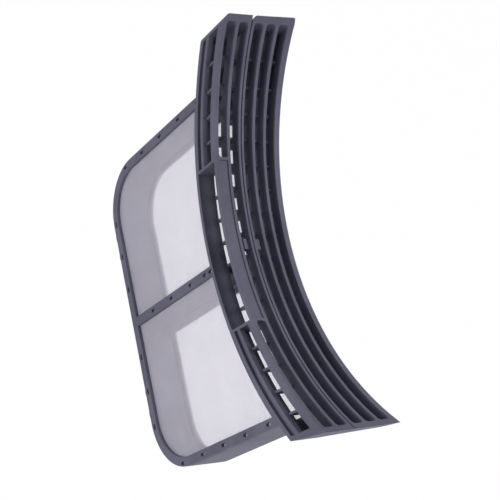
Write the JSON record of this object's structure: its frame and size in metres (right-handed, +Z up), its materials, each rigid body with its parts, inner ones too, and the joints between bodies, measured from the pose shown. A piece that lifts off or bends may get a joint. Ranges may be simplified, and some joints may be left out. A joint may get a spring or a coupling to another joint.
{
  "type": "tumble dryer lint filter",
  "caption": "Fold-open lint filter with a curved slotted grille, a finger recess and an offset two-sided mesh bag that hangs below it and opens on a bottom hinge.",
  "frame": {"origin": "the lowest point of the grille's top surface, on the parting line of the two halves: the middle of the filter's seat in the door ring", "axes": "+X along the curved grille, +Y from the front half to the rear half, +Z up, with the bag hanging down as in the dryer"},
  "size_m": [0.3, 0.0575, 0.2155],
  "materials": {
    "moulded_plastic": "fine matte moulded surface, slate grey",
    "filter_mesh": "fine white woven polyester mesh"
  },
  "bodies": {
    "rear": {"rear_half": "moulded_plastic", "rear_mesh_left": "filter_mesh", "rear_mesh_right": "filter_mesh"},
    "front": {"front_half": "moulded_plastic", "front_mesh": "filter_mesh"}
  },
  "joints": [
    {"name": "fold_open", "type": "hinge", "parent": "rear", "child": "front", "pos_m": [0.011, -0.0155, -0.1496], "axis": [1, 0, 0], "range_deg": [0, 180]}
  ]
}
